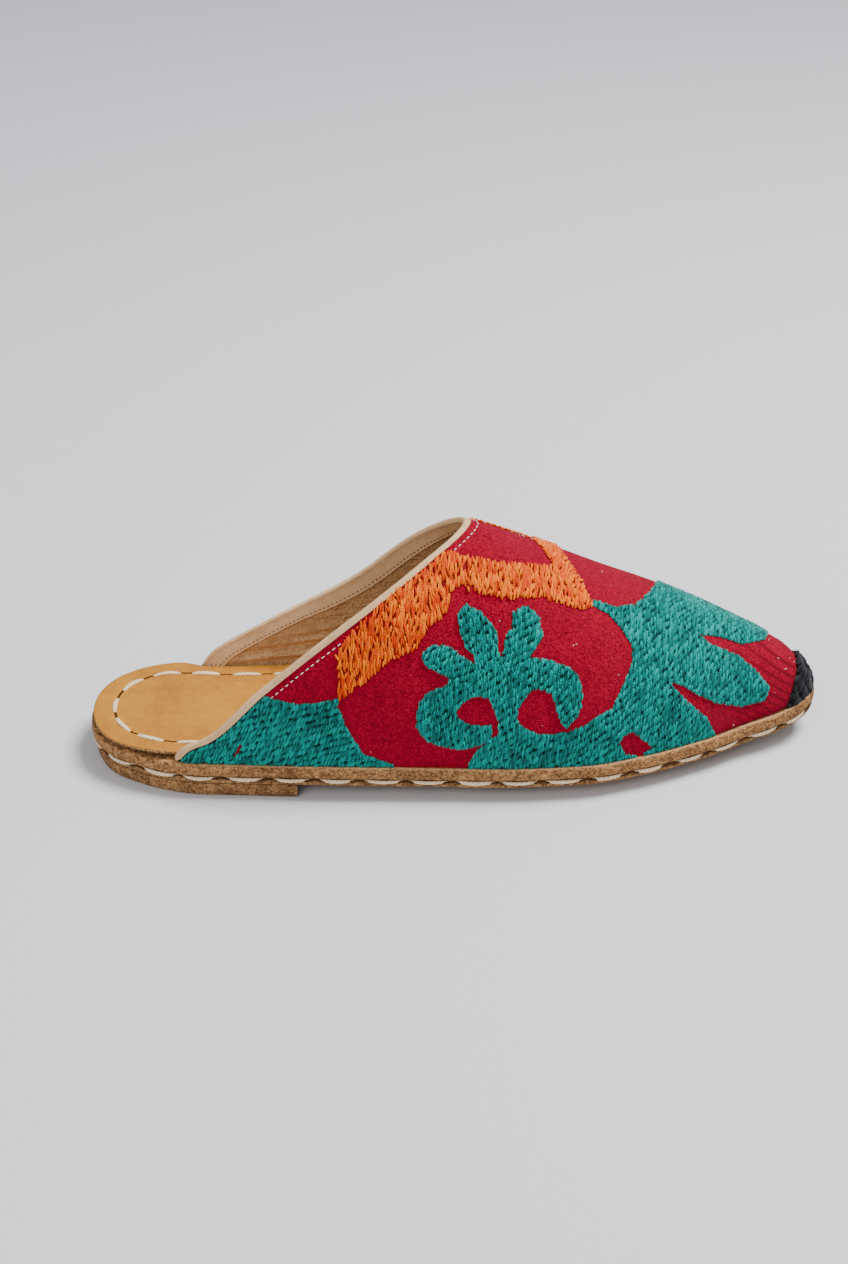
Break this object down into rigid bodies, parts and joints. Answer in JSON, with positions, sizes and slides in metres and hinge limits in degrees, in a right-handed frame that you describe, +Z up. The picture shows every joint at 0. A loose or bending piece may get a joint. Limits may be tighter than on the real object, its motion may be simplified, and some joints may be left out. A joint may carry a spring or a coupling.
{
  "type": "babouche slipper",
  "caption": "Backless right slipper with an embroidered pointed upper on a stitched leather sole with a low heel lift.",
  "frame": {"origin": "middle of the slipper's footprint box, on the floor", "axes": "+X from the heel to the toe, +Z up, -Y towards the outer side of the right foot"},
  "size_m": [0.2686, 0.0904, 0.0903],
  "materials": {
    "embroidered_cloth": "velvet ground with raised wool stitching",
    "binding_leather": "smooth lining leather",
    "insole_leather": "smooth vegetable-tanned leather",
    "welt_leather": "raw brown edge, fibrous",
    "sole_leather": "raw brown sole leather"
  },
  "bodies": {
    "root": {"upper": "embroidered_cloth", "collar_binding": "binding_leather", "insole": "insole_leather", "midsole": "welt_leather", "outsole": "sole_leather", "heel_lift": "sole_leather"}
  },
  "joints": []
}
